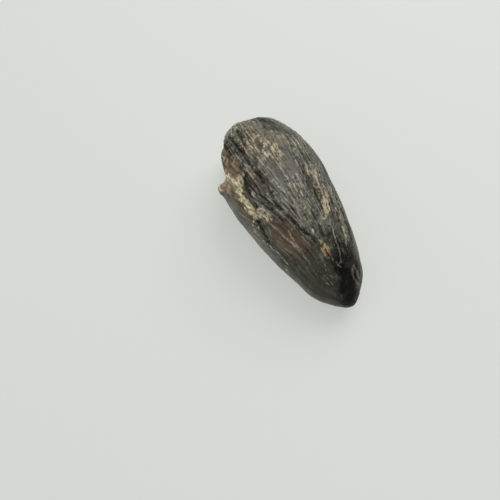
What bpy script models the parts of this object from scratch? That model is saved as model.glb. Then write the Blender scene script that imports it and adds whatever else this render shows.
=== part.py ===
"""Crown of a fossil crocodile tooth, lying on its flatter side.

The shape is worked out in millimetres and turned into metres for Blender. +X points from
the broken base to the tip, +Y to the side of the tooth that bulges more, and +Z up. The
origin is under the middle of the tooth, on the face that it rests on. Angles go round the
tooth in degrees, from +Y at 0 through +Z at 90 to -Y at 180.
"""

import math

import bmesh
import bpy
import numpy as np

MM = 0.001  # one millimetre in metres

# Overall size of the tooth, in mm.
LENGTH = 15.0
WIDTH = 7.0
HEIGHT = 6.0

# The sound tooth at stations from the base to the tip: place along the length, then the edge
# on the +Y and the -Y side, the top and the underside. x is a share of the length, y of the
# width and z of the height. An underside below 0 is worn flat there.
STATIONS = [
    (-0.50, 0.20, -0.30, 0.75, 0.12),
    (-0.44, 0.28, -0.40, 0.84, 0.06),
    (-0.37, 0.36, -0.48, 0.91, 0.01),
    (-0.28, 0.43, -0.53, 0.97, -0.03),
    (-0.19, 0.46, -0.53, 1.00, -0.04),
    (-0.08, 0.465, -0.505, 0.99, -0.04),
    (0.02, 0.455, -0.46, 0.95, -0.04),
    (0.12, 0.44, -0.40, 0.88, -0.04),
    (0.22, 0.42, -0.33, 0.79, -0.03),
    (0.32, 0.385, -0.24, 0.67, -0.01),
    (0.42, 0.335, -0.14, 0.53, 0.02),
    (0.50, 0.28, -0.02, 0.40, 0.05),
]
ROUNDNESS = 2.15  # exponent of the superellipse that each cross-section is, 2 being an ellipse

# How the two ends close: over how many mm, and how squarely.
BASE_CLOSES_OVER = 1.1
BASE_SQUARENESS = 2.8
TIP_CLOSES_OVER = 2.0
TIP_SQUARENESS = 2.0
BASE_SLANT = 0.16  # mm that the top of the base leans towards the tip, for each mm of height
BASE_SLANT_REACH = 4.0  # mm from the base over which that lean dies out

# The broken base is hollowed where the pulp cavity was.
DISH_DEPTH = 0.7
DISH_SHARE = 0.72  # share of the base's cross-section that the hollow takes up

# Furrows between the main ridges: (x, angle) points along each, then depth and half-width.
FURROWS = [
    ([(-6.6, 119), (-3.8, 118), (-0.9, 113), (1.2, 105), (3.0, 101), (4.4, 95)], 0.16, 0.30),
    ([(-6.2, 56), (-3.1, 66), (-1.2, 72), (1.2, 71), (3.2, 74), (5.2, 80)], 0.11, 0.34),
    ([(-6.0, 20), (-3.0, 30), (0.0, 34), (3.0, 38)], 0.10, 0.36),
    ([(-5.5, 290), (-2.0, 280), (2.0, 265)], 0.08, 0.40),
]
FURROW_RUNS_OUT = 1.2  # mm at each end of a furrow over which it dies out

# The edge of the enamel where it has broken away on the -Y side, as (x, angle) points.
RIM = [
    (-7.5, 150),
    (-6.3, 139.5),
    (-5.8, 134.5),
    (-4.9, 130),
    (-3.6, 127),
    (-2.9, 125.5),
    (-2.4, 135.5),
    (-1.7, 141),
    (-0.6, 144),
    (0.1, 143),
    (0.6, 137.5),
    (1.6, 132),
]
RIM_STEP = (-0.08, 0.22)  # mm on either side of the rim over which the surface steps down
# The chip takes a piece out of the base; it has a floor under the rim, then falls away.
CHIP_LIP = 0.2  # depth just under the rim
CHIP_DEPTH = 1.05
CHIP_FALL = (0.2, 1.6)  # mm from the rim over which the floor falls away to the full depth
# Its edge towards the tip, as (angle, x) points, and mm of length over which it sinks.
CHIP_EDGE = [(140, -3.6), (168, -3.05), (183, -3.5), (200, -3.6), (215, -4.1), (224, -5.0), (232, -6.2)]
CHIP_EDGE_SLOPE = 0.5
# Its edge on the underside, as (x, angle) points, and degrees over which it sinks.
CHIP_BOTTOM = [(-7.0, 211), (-6.5, 218), (-6.0, 222), (-5.0, 229)]
CHIP_BOTTOM_SLOPE = 14
# From the chip a crack runs on between the rim and a line below it, and closes.
CRACK_LOWER_EDGE = [
    (-3.8, 186),
    (-3.2, 182),
    (-2.5, 174),
    (-1.4, 162),
    (-0.9, 160),
    (0.2, 158),
    (0.7, 153),
    (1.6, 138),
]
CRACK_START = -3.6
CRACK_END = 1.4
CRACK_DEPTH = 0.22

# Worn spots of the surface, as x, angle, radius and depth. The raised one, with a depth
# below 0, is the horn of enamel between the chip and the crack.
SPOTS = [(-6.6, 134, 0.55, 0.26), (-7.0, 84, 0.6, 0.08), (-3.45, 183, 0.5, -0.24)]

# A wear facet cuts the upper side of the tip: a point in its plane and its outward normal.
FACET_POINT = (6.40, 1.20, 2.62)
FACET_NORMAL = (0.67, 0.23, 0.71)
FACET_BLEND = 0.06  # mm over which the facet's edge is rounded

# Cuts die out towards the two poles, over these shares of the full cross-section.
POLE_KEEPS = (0.2, 0.8)

# The mesh: points round each ring, and rings along the tooth.
SIDES = 72
RINGS = 60

ENAMEL_COLOUR = (0.035, 0.032, 0.028, 1)
ENAMEL_ROUGHNESS = 0.4


def smooth_through(xs, ys, x):
    """A smooth curve through the points (xs, ys), read at x."""
    slopes = np.gradient(ys, xs)
    i = np.clip(np.searchsorted(xs, x) - 1, 0, len(xs) - 2)
    step = xs[i + 1] - xs[i]
    t = (x - xs[i]) / step
    return (
        ys[i] * (1 + 2 * t) * (1 - t) ** 2
        + ys[i + 1] * (3 - 2 * t) * t**2
        + step * (slopes[i] * t * (1 - t) ** 2 - slopes[i + 1] * t**2 * (1 - t))
    )


def fade(x, start, end):
    """0 at start and 1 at end, with a smooth passage between them."""
    t = np.clip((x - start) / (end - start), 0, 1)
    return t * t * (3 - 2 * t)


def end_closure(distance, reach, squareness):
    """Share of the full cross-section left at a distance from an end, 0 at the end itself."""
    t = np.clip(1 - distance / reach, 0, 1)
    return (1 - t**squareness) ** (1 / squareness)


def closure(x):
    base = end_closure(x + LENGTH / 2, BASE_CLOSES_OVER, BASE_SQUARENESS)
    tip = end_closure(LENGTH / 2 - x, TIP_CLOSES_OVER, TIP_SQUARENESS)
    return base * tip


def ring_places(count):
    """x of each ring, evenly spaced along the surface from one end to the other."""
    x = -LENGTH / 2 * np.cos(np.linspace(0, math.pi, 4000))
    radius = closure(x) * WIDTH / 2
    along = np.concatenate([[0], np.cumsum(np.hypot(np.diff(x), np.diff(radius)))])
    return np.interp(np.linspace(0, along[-1], count + 2)[1:-1], along, x)


def sound_tooth(x, angle):
    """Points and section centres of the unbroken crown, angle in degrees."""
    table = np.array(STATIONS) * [LENGTH, WIDTH, WIDTH, HEIGHT, HEIGHT]
    right, left, top, under = (
        smooth_through(table[:, 0], table[:, k], x) for k in range(1, 5)
    )
    turn = np.radians(angle)
    across = np.sign(np.cos(turn)) * np.abs(np.cos(turn)) ** (2 / ROUNDNESS)
    upward = np.sign(np.sin(turn)) * np.abs(np.sin(turn)) ** (2 / ROUNDNESS)
    share = closure(x)
    centre_y = (right + left) / 2
    centre_z = (top + under) / 2
    y = centre_y + across * share * (right - left) / 2
    z = centre_z + upward * share * (top - under) / 2
    lean = BASE_SLANT * fade(x, -LENGTH / 2 + BASE_SLANT_REACH, -LENGTH / 2)
    centre = np.stack([x, centre_y, centre_z], -1)
    return np.stack([x + lean * (z - centre_z), y, z], -1), centre


def line_at(points, x):
    places, angles = np.array(points, float).T
    return np.interp(x, places, angles)


def past_line(points, x, angle, radius):
    """mm round the tooth from a line of (x, angle) points, positive beyond it."""
    turn = (angle - line_at(points, x) + 180) % 360 - 180
    return np.radians(turn) * radius


def furrow_depth(x, angle, radius):
    depth = np.zeros_like(x)
    for points, deepest, half_width in FURROWS:
        aside = past_line(points, x, angle, radius)
        runs = fade(x, points[0][0] - FURROW_RUNS_OUT, points[0][0])
        runs = runs * fade(x, points[-1][0] + FURROW_RUNS_OUT, points[-1][0])
        depth += deepest * runs * np.exp(-((aside / half_width) ** 2))
    return depth


def break_depth(x, angle, radius):
    """How far the chip and the crack that runs on from it are sunk below the surface."""
    below = past_line(RIM, x, angle, radius)
    step = fade(below, *RIM_STEP)
    chip = CHIP_LIP * step + (CHIP_DEPTH - CHIP_LIP) * fade(below, *CHIP_FALL)
    edge = line_at(CHIP_EDGE, angle)
    bottom = line_at(CHIP_BOTTOM, x)
    chip = chip * fade(x, edge, edge - CHIP_EDGE_SLOPE)
    chip = chip * fade(angle, bottom, bottom - CHIP_BOTTOM_SLOPE)
    left = np.clip((CRACK_END - x) / (CRACK_END - CRACK_START), 0, 1)
    above = -past_line(CRACK_LOWER_EDGE, x, angle, radius)
    wedge = np.clip(above / np.maximum(above + below, 0.1), 0, 1) ** 0.7
    crack = CRACK_DEPTH * np.sqrt(left) * step * wedge * fade(x, CRACK_START - 0.3, CRACK_START)
    return np.maximum(chip, crack)


def spot_depth(x, angle, radius):
    depth = np.zeros_like(x)
    for place, turn, spread, deepest in SPOTS:
        aside = np.radians((angle - turn + 180) % 360 - 180) * radius
        depth += deepest * np.exp(-((x - place) ** 2 + aside**2) / spread**2)
    return depth


def press_to_facet(points):
    """Move what stands above the plane of the wear facet down into it."""
    normal = np.array(FACET_NORMAL) / np.linalg.norm(FACET_NORMAL)
    above = (points - FACET_POINT) @ normal
    over = FACET_BLEND * np.logaddexp(0, above / FACET_BLEND)
    return points - over[..., None] * normal


def fit_to_size(points):
    """Scale the finished shape so that its box has exactly the size that it should."""
    low = points.min((0, 1))
    high = points.max((0, 1))
    size = np.array([LENGTH, WIDTH, HEIGHT])
    points = (points - (low + high) / 2) * size / (high - low)
    points[..., 2] += HEIGHT / 2
    return points


def tooth_points():
    """Points of the tooth, one row for each ring from the base to the tip."""
    x, angle = np.meshgrid(ring_places(RINGS), np.arange(SIDES) * 360 / SIDES, indexing="ij")
    points, centres = sound_tooth(x, angle)
    radius = np.linalg.norm((points - centres)[..., 1:], axis=-1)
    depths = (part(x, angle, radius) for part in (furrow_depth, break_depth, spot_depth))
    sunk = sum(depths) / radius * fade(closure(x), *POLE_KEEPS)
    points = press_to_facet(points - (points - centres) * sunk[..., None])
    hollow = DISH_DEPTH * np.clip(1 - (closure(x) / DISH_SHARE) ** 2, 0, 1)
    points[..., 0] += np.where(x < 0, hollow, 0)
    points[..., 2] = np.maximum(points[..., 2], 0)
    return fit_to_size(points)


def fossil_enamel():
    enamel = bpy.data.materials.new("fossil enamel")
    enamel.use_nodes = True
    shader = enamel.node_tree.nodes["Principled BSDF"]
    shader.inputs["Base Color"].default_value = ENAMEL_COLOUR
    shader.inputs["Roughness"].default_value = ENAMEL_ROUGHNESS
    return enamel


def make_tooth():
    points = tooth_points() * MM
    mesh = bmesh.new()
    rings = [[mesh.verts.new(p) for p in ring] for ring in points]
    poles = [mesh.verts.new(points[end].mean(0)) for end in (0, -1)]
    for side in range(SIDES):
        after = (side + 1) % SIDES
        mesh.faces.new((poles[0], rings[0][after], rings[0][side]))
        mesh.faces.new((poles[1], rings[-1][side], rings[-1][after]))
        for ring, beyond in zip(rings, rings[1:]):
            mesh.faces.new((ring[side], ring[after], beyond[after], beyond[side]))
    bmesh.ops.triangulate(mesh, faces=mesh.faces[:])
    bmesh.ops.recalc_face_normals(mesh, faces=mesh.faces[:])
    data = bpy.data.meshes.new("tooth")
    mesh.to_mesh(data)
    mesh.free()
    data.shade_smooth()
    data.materials.append(fossil_enamel())
    bpy.context.collection.objects.link(bpy.data.objects.new("tooth", data))


if __name__ == "__main__":
    for obj in list(bpy.data.objects):
        bpy.data.objects.remove(obj)
    make_tooth()
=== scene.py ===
"""Looks of the fossil crocodile tooth: its ribbed enamel, the broken side and the studio.

Lengths are in millimetres until the mesh is made. Angles go round the tooth in degrees,
from +Y at 0 through +Z at 90 to -Y at 180, as in the CAD part. Marks are placed by pixels
(px, in the photograph's 500 x 500 frame) and lie on the tooth's surface under those pixels.
"""

import itertools
import math

import bpy
import numpy as np
from mathutils import Matrix, Vector


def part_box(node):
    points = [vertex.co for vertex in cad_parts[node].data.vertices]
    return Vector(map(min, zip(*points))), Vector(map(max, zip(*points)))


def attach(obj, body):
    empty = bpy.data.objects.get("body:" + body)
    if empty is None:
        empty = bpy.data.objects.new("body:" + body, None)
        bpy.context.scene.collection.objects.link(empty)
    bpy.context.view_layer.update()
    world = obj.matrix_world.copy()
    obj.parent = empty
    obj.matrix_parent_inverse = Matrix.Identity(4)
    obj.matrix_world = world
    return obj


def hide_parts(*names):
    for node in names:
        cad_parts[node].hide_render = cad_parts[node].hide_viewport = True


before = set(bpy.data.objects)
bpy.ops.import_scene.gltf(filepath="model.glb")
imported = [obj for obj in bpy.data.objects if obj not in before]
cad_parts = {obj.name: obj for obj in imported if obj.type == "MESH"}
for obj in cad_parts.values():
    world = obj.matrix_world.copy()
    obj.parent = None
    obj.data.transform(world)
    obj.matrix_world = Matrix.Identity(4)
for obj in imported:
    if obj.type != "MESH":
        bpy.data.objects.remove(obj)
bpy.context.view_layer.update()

MM = 0.001  # one millimetre in metres
LOW, HIGH = (np.array(corner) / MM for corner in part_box("tooth"))
LENGTH, WIDTH, HEIGHT = HIGH - LOW

# ---- camera of the photograph

FRAME_PX = 500
LENS, SENSOR = 40.0, 36.0  # mm
AZIMUTH, ELEVATION = 66.27, 63.81  # degrees, 0 looking along +Y
DISTANCE = 36.52
TARGET = np.array([1.653, -3.503, 2.5])


def direction(azimuth, elevation):
    """Unit vector towards a camera or lamp at that azimuth and elevation in degrees."""
    az, el = math.radians(azimuth), math.radians(elevation)
    return np.array([math.sin(az) * math.cos(el), -math.cos(az) * math.cos(el), math.sin(el)])


def camera_axes():
    """Unit vectors to the right, up and back from the view, back pointing to the camera."""
    back = direction(AZIMUTH, ELEVATION)
    az = math.radians(AZIMUTH)
    right = np.array([math.cos(az), math.sin(az), 0.0])
    return right, np.cross(back, right), back


def to_pixels(points):
    """Where points in mm show in the photograph's frame."""
    right, up, back = camera_axes()
    away = points - (TARGET + back * DISTANCE)
    scale = LENS / SENSOR * FRAME_PX / -(away @ back)
    middle = FRAME_PX / 2
    return np.stack([middle + away @ right * scale, middle - away @ up * scale], -1)


# ---- noise

GRADIENTS = np.array([p for p in itertools.product((-1, 0, 1), repeat=3) if p.count(0) == 1], float)
# Large odd numbers that scatter the cells: one for each axis, one for the seed and one to mix them.
SCATTER = (73856093, 19349663, 83492791, 2654435761, 1274126177)
NOISE_GAIN = 1.5  # brings the noise to about -1 to 1


def noise(points, seed=0):
    """Smooth gradient noise in 3-D, about -1 to 1."""
    cell = np.floor(points).astype(np.int64)
    inside = points - cell
    ease = inside**3 * (inside * (inside * 6 - 15) + 10)
    total = np.zeros(points.shape[:-1])
    for corner in itertools.product((0, 1), repeat=3):
        x, y, z = np.moveaxis((cell + corner) * SCATTER[:3], -1, 0)
        mixed = x ^ y ^ z ^ seed * SCATTER[3]
        mixed = (mixed ^ mixed >> 13) * SCATTER[4] & 0xFFFFFFFF
        gradient = GRADIENTS[(mixed ^ mixed >> 15) % len(GRADIENTS)]
        weight = np.prod(np.where(corner, ease, 1 - ease), -1)
        total += weight * (gradient * (inside - corner)).sum(-1)
    return total * NOISE_GAIN


def layered(points, octaves, seed=0):
    """Noise with finer and weaker layers added."""
    return sum(noise(points * 2**i, seed + i) / 2**i for i in range(octaves))


def fade(x, start, end):
    """0 at start and 1 at end, with a smooth passage between them."""
    t = np.clip((x - start) / (end - start), 0, 1)
    return t * t * (3 - 2 * t)


def turned(angle, towards):
    """Degrees from one angle to another the short way round, -180 to 180."""
    return (angle - towards + 180) % 360 - 180


# ---- shape, as the CAD part has it but for a sharper and more ragged break

# The sound tooth at stations from the base to the tip: place along the length, the edge on the
# +Y and the -Y side, the top and the underside, as shares of the length, width and height.
STATIONS = [
    (-0.50, 0.20, -0.30, 0.75, 0.12),
    (-0.44, 0.28, -0.40, 0.84, 0.06),
    (-0.37, 0.36, -0.48, 0.91, 0.01),
    (-0.28, 0.43, -0.53, 0.97, -0.03),
    (-0.19, 0.46, -0.53, 1.00, -0.04),
    (-0.08, 0.465, -0.505, 0.99, -0.04),
    (0.02, 0.455, -0.46, 0.95, -0.04),
    (0.12, 0.44, -0.40, 0.88, -0.04),
    (0.22, 0.42, -0.33, 0.79, -0.03),
    (0.32, 0.385, -0.24, 0.67, -0.01),
    (0.42, 0.335, -0.14, 0.53, 0.02),
    (0.50, 0.28, -0.02, 0.40, 0.05),
]
ROUNDNESS = 2.15  # exponent of the superellipse that each cross-section is
BASE_CLOSES_OVER, BASE_SQUARENESS = 1.1, 2.8
TIP_CLOSES_OVER, TIP_SQUARENESS = 2.0, 2.0
BASE_SLANT, BASE_SLANT_REACH = 0.16, 4.0  # how steeply the base leans, and how far from its end
DISH_DEPTH, DISH_SHARE = 0.7, 0.72  # of the hollow base, and its share of the section
FACET_POINT = np.array([6.40, 1.20, 2.62])  # in the plane of the worn facet by the tip
FACET_NORMAL = np.array([0.67, 0.23, 0.71])
FACET_BLEND = 0.06
POLE_KEEPS = (0.2, 0.8)  # shares of the full section over which cuts die out towards the poles

# Furrows, each (x, angle) points, depth and half-width.
FURROWS = [
    ([(-6.6, 119), (-3.8, 118), (-0.9, 113), (1.2, 105), (3.0, 101), (4.4, 95)], 0.16, 0.30),
    ([(-6.2, 56), (-3.1, 66), (-1.2, 72), (1.2, 71), (3.2, 74), (5.2, 80)], 0.11, 0.34),
    ([(-6.0, 20), (-3.0, 30), (0.0, 34), (3.0, 38)], 0.10, 0.36),
    ([(-5.5, 290), (-2.0, 280), (2.0, 265)], 0.08, 0.40),
]
FURROW_RUNS_OUT = 1.2

# The edge of the broken enamel, (x, angle), and the chip and crack under it.
RIM = [
    (-7.5, 150), (-6.3, 139.5), (-5.8, 134.5), (-4.9, 130), (-3.6, 127), (-2.9, 125.5), (-2.6, 130),
    (-2.4, 135.5), (-2.1, 138.5), (-1.7, 141), (-1.15, 142), (-0.6, 144), (0.1, 143), (0.6, 137.5),
    (1.6, 132),
]
RIM_STEP = (-0.02, 0.08)  # mm from the rim over which the surface steps down
FLANK_EDGE = [  # lower edge of the crack, (x, angle)
    (-3.8, 186), (-3.2, 182), (-2.5, 174), (-1.9, 168), (-1.4, 162), (-0.9, 160), (0.2, 158),
    (0.7, 153), (1.6, 138),
]
FLANK_EDGE_BLEND = 0.25
CHIP_END = -3.6  # x where the exposed dentine narrows to the crack
CHIP_EDGE = [  # (angle, x)
    (140, -3.6), (158, -3.15), (168, -3.05), (176, -3.25), (183, -3.5), (200, -3.6), (215, -4.1),
    (224, -5.0), (232, -6.2),
]
CHIP_SLOPE = 0.5  # mm over which the chip sinks from that edge
CHIP_LIP, CHIP_DEPTH = 0.2, 1.05
CHIP_FALL = (0.2, 1.6)  # mm from the rim over which it falls to its full depth
CHIP_BOTTOM = [(-7.0, 211), (-6.5, 218), (-6.0, 222), (-5.0, 229)]  # (x, angle)
CHIP_BOTTOM_SLOPE = 14  # degrees
CRACK_END, CRACK_DEPTH = 1.4, 0.22
CRACK_OPENS_OVER = 0.3  # mm, under the chip
CRACK_CLOSES = (1.5, 1.1)  # x over which the bare dentine closes
CRACK_SHAPE = 0.7  # exponent of its depth between its two edges
RIM_RAGS, CHIP_RAGS = (0.08, 1.8), (0.12, 1.3)  # mm that the edge wanders, and wanderings for each mm
# Worn hollows in the base's edge: x, angle, radius and depth.
NICKS = [(-6.6, 134, 0.55, 0.26), (-7.0, 84, 0.6, 0.08)]
# Small swellings of the surface, and hollows where negative: x, angle, radius and height.
SWELLS = [(-3.45, 183, 0.5, 0.24), (-7.05, 115, 0.5, 0.10), (-6.6, 148, 0.5, -0.14), (-6.5, 47, 0.9, 0.07)]
BOX_SPARE = 0.15  # mm that the relief may stand out of the CAD model's box
DENSER, DENSEST_AT = 0.3, 110  # share by which a ring's points lie closer, and the angle where they do


def smooth_through(xs, ys, x):
    """A smooth curve through the points (xs, ys), read at x."""
    slopes = np.gradient(ys, xs)
    i = np.clip(np.searchsorted(xs, x) - 1, 0, len(xs) - 2)
    step = xs[i + 1] - xs[i]
    t = (x - xs[i]) / step
    return (
        ys[i] * (1 + 2 * t) * (1 - t) ** 2
        + ys[i + 1] * (3 - 2 * t) * t**2
        + step * (slopes[i] * t * (1 - t) ** 2 - slopes[i + 1] * t**2 * (1 - t))
    )


def end_closure(distance, reach, squareness):
    """Share of the full cross-section left at a distance from an end, 0 at the end itself."""
    t = np.clip(1 - distance / reach, 0, 1)
    return (1 - t**squareness) ** (1 / squareness)


def closure(x):
    """Share of the full cross-section at x, falling to 0 at the two ends."""
    base = end_closure(x + LENGTH / 2, BASE_CLOSES_OVER, BASE_SQUARENESS)
    tip = end_closure(LENGTH / 2 - x, TIP_CLOSES_OVER, TIP_SQUARENESS)
    return base * tip


def ring_places(count):
    """x of each ring, evenly spaced along the surface, and how far along each lies, 0 to 1."""
    x = -LENGTH / 2 * np.cos(np.linspace(0, math.pi, 4000))
    along = np.concatenate([[0], np.cumsum(np.hypot(np.diff(x), np.diff(closure(x) * WIDTH / 2)))])
    share = np.linspace(0, 1, count + 2)[1:-1]
    return np.interp(share * along[-1], along, x), share


def side_places(count):
    """Angle of each point round a ring, closer together where the marks are finest."""
    tenths = np.linspace(0, 360, 3601)
    density = 1 + DENSER * np.cos(np.radians(tenths - DENSEST_AT))
    places = np.concatenate([[0], np.cumsum((density[1:] + density[:-1]) / 2)])
    return np.interp(np.arange(count) / count * places[-1], places, tenths)


def sound_tooth(x, angle):
    """Points and section centres of the unbroken crown."""
    table = np.array(STATIONS) * [LENGTH, WIDTH, WIDTH, HEIGHT, HEIGHT]
    right, left, top, under = (smooth_through(table[:, 0], table[:, k], x) for k in range(1, 5))
    turn = np.radians(angle)
    across, upward = (np.sign(v) * np.abs(v) ** (2 / ROUNDNESS) for v in (np.cos(turn), np.sin(turn)))
    centre_y, centre_z = (right + left) / 2, (top + under) / 2
    y = centre_y + across * closure(x) * (right - left) / 2
    z = centre_z + upward * closure(x) * (top - under) / 2
    lean = BASE_SLANT * fade(x, -LENGTH / 2 + BASE_SLANT_REACH, -LENGTH / 2)
    return np.stack([x + lean * (z - centre_z), y, z], -1), np.stack([x, centre_y, centre_z], -1)


def normals_of(points):
    """Outward unit normals of a grid of points, rings first and closed round the second axis."""
    round_it = np.roll(points, -1, 1) - np.roll(points, 1, 1)
    along_it = np.gradient(points, axis=0)
    normal = np.cross(round_it, along_it)
    return normal / np.maximum(np.linalg.norm(normal, axis=-1, keepdims=True), 1e-9)


class Tooth:
    """The surface as a grid of points, before its fine relief."""

    RINGS, SIDES = 262, 378

    def __init__(self):
        x_line, self.along = ring_places(self.RINGS)
        self.angle_line = side_places(self.SIDES)
        self.x, self.angle = np.meshgrid(x_line, self.angle_line, indexing="ij")
        self.smooth, self.centre = sound_tooth(self.x, self.angle)
        self.radius = np.linalg.norm((self.smooth - self.centre)[..., 1:], axis=-1)
        self.away_from_poles = fade(closure(self.x), *POLE_KEEPS)
        self.find_breaks()
        self.body = self.cut_body()
        self.normal = normals_of(self.body)
        self.pixels = to_pixels(self.body)
        to_camera = TARGET + camera_axes()[2] * DISTANCE - self.body
        self.seen = (to_camera * self.normal).sum(-1) > 0

    def past_line(self, points):
        """mm round the tooth from a line of (x, angle) points, positive beyond it."""
        return np.radians(turned(self.angle, np.interp(self.x, *np.array(points, float).T))) * self.radius

    def furrows(self):
        """Depths of the long furrows."""
        depth = np.zeros_like(self.x)
        for points, deepest, half_width in FURROWS:
            runs = fade(self.x, points[0][0] - FURROW_RUNS_OUT, points[0][0])
            runs = runs * fade(self.x, points[-1][0] + FURROW_RUNS_OUT, points[-1][0])
            depth += deepest * runs * np.exp(-((self.past_line(points) / half_width) ** 2))
        return depth

    def spots(self, places):
        """Heights of round spots, each (x, angle, radius, height)."""
        total = np.zeros_like(self.x)
        for x, angle, radius, height in places:
            round_it = np.radians(turned(self.angle, angle)) * self.radius
            total += height * np.exp(-((self.x - x) ** 2 + round_it**2) / radius**2)
        return total

    def find_breaks(self):
        """Depths of the chip and of the crack, with ragged edges, and where the enamel is open."""
        ragged = RIM_RAGS[0] * layered(self.smooth * RIM_RAGS[1], 3, 31)
        ragged_x = self.x + CHIP_RAGS[0] * layered(self.smooth * CHIP_RAGS[1], 3, 41)
        below = self.past_line(RIM) + ragged
        above = ragged - self.past_line(FLANK_EDGE)
        step = fade(below, *RIM_STEP)
        self.open = step * fade(above, 0, FLANK_EDGE_BLEND) * fade(self.x, *CRACK_CLOSES)
        edge = np.interp(self.angle, *np.array(CHIP_EDGE).T)
        bottom = np.interp(self.x, *np.array(CHIP_BOTTOM).T)
        chip = CHIP_LIP * step + (CHIP_DEPTH - CHIP_LIP) * fade(below, *CHIP_FALL)
        chip = chip * fade(self.angle, bottom, bottom - CHIP_BOTTOM_SLOPE)
        self.chip = chip * fade(ragged_x, edge, edge - CHIP_SLOPE)
        left = np.clip((CRACK_END - self.x) / (CRACK_END - CHIP_END), 0, 1)
        wedge = np.clip(above / np.maximum(above + below, 0.1), 0, 1) ** CRACK_SHAPE
        past_chip = fade(ragged_x, CHIP_END - CRACK_OPENS_OVER, CHIP_END)
        self.crack = CRACK_DEPTH * np.sqrt(left) * step * wedge * past_chip

    def cut_body(self):
        """Points with the furrows, breaks, worn facet and hollow base, fitted to the CAD box."""
        sunk = (self.furrows() + np.maximum(self.chip, self.crack) + self.spots(NICKS)) / self.radius
        points = self.smooth - (self.smooth - self.centre) * (sunk * self.away_from_poles)[..., None]
        normal = FACET_NORMAL / np.linalg.norm(FACET_NORMAL)
        above = (points - FACET_POINT) @ normal
        over = FACET_BLEND * np.logaddexp(0, above / FACET_BLEND)
        points = points - over[..., None] * normal
        hollow = DISH_DEPTH * np.clip(1 - (closure(self.x) / DISH_SHARE) ** 2, 0, 1)
        points[..., 0] += np.where(self.x < 0, hollow, 0)
        points[..., 2] = np.maximum(points[..., 2], 0)
        low, high = points.min((0, 1)), points.max((0, 1))
        return (points - (low + high) / 2) * (HIGH - LOW) / (high - low) + (LOW + HIGH) / 2


# ---- marks, by photograph pixels

# A stroke is its half-width in mm, its strength, and x,y in px of each point that it runs through.
# Dark furrows, deepest where the strength is 1: sunk into the relief and darkened with painted shade.
DARK_FURROWS = [
    (0.11, 1, 230,138, 236,145, 242,152, 247,160, 253,168, 259,176, 266,185, 271,193),
    (0.08, 0.5, 229,141, 234,149, 239,156, 244,162),
    (0.13, 0.9, 271,193, 275,201, 281,208, 288,215, 295,223, 303,230, 312,238, 321,246),
    (0.18, 1, 226,145, 229,151, 231,156), (0.06, 0.4, 250,176, 254,182, 258,190, 263,198),
    (0.05, 0.3, 247,176, 251,185, 255,192, 260,201), (0.06, 0.5, 262,182, 267,190, 272,199, 279,209),
    (0.05, 0.3, 282,191, 287,197, 292,207, 297,214, 303,222),
    (0.05, 0.3, 276,196, 283,205, 290,211, 296,219), (0.08, 0.6, 312,211, 316,219, 320,227, 324,236),
    (0.1, 0.45, 287,137, 290,144, 293,153, 298,163, 303,173),
    (0.16, 0.7, 240,166, 244,176, 246,188, 250,198, 257,207), (0.09, 0.7, 258,222, 263,231, 269,241),
    (0.07, 0.7, 328,183, 334,196, 340,208, 345,218), (0.06, 0.3, 264,212, 272,222, 281,232),
    (0.07, 0.6, 238,132, 241,139, 245,145), (0.05, 0.4, 244,131, 248,137, 251,141),
    (0.07, 0.5, 334,205, 338,217, 341,229, 344,240), (0.05, 0.3, 300,214, 305,222, 311,231, 317,240),
    (0.04, 0.9, 325,249, 327,253, 329,256),
]
# Thin crests and scratches painted pale: scratches, and painted highlights along the crests and on the tip's
# right rim.
LIGHT_LINES = [
    (0.05, 1, 279,186, 286,194, 289,199, 295,209, 302,218), (0.045, 0.9, 288,192, 294,200, 300,209),
    (0.05, 0.9, 254,125, 259,131, 264,137, 267,143, 270,150), (0.05, 1, 266,153, 268,157, 269,154, 271,158),
    (0.05, 0.8, 239,123, 243,129, 245,133), (0.06, 1, 235,136, 239,141, 245,149, 249,155),
    (0.045, 0.9, 256,120, 259,123, 262,127), (0.05, 1, 223,141, 230,150, 237,159, 242,165),
    (0.05, 0.7, 243,168, 249,174, 255,182), (0.04, 0.6, 251,157, 258,163, 265,170, 272,179, 279,188),
    (0.035, 0.7, 271,121, 277,126, 281,131),
    (0.045, 0.8, 285,131, 290,138, 294,143, 298,151, 304,162, 309,170),
    (0.05, 0.8, 309,170, 313,177, 318,184, 322,192, 324,199), (0.04, 0.6, 312,204, 315,209, 316,214),
    (0.035, 0.7, 330,220, 334,236, 339,250, 341,262),
    (0.034, 0.75, 272,223, 278,229, 284,236, 290,242, 296,248, 303,256, 314,268),
    (0.03, 0.75, 289,231, 291,236, 296,244, 301,251, 306,258), (0.05, 0.8, 261,216, 266,224, 271,231),
    (0.035, 0.9, 268,244, 274,249, 279,253, 284,259, 288,263), (0.035, 0.6, 306,241, 311,246, 319,254),
    (0.03, 0.5, 304,256, 309,263, 314,269, 318,271), (0.03, 0.5, 325,277, 329,280, 333,285),
    (0.03, 0.5, 313,270, 318,276, 322,279), (0.06, 0.8, 354,265, 356,272, 359,279),
    (0.05, 0.6, 352,268, 355,277, 357,284), (0.035, 0.4, 282,150, 288,160, 295,172, 302,184),
    (0.035, 0.4, 276,166, 283,177, 291,188, 299,200), (0.035, 0.5, 268,175, 275,184, 283,195, 290,205),
]
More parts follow.
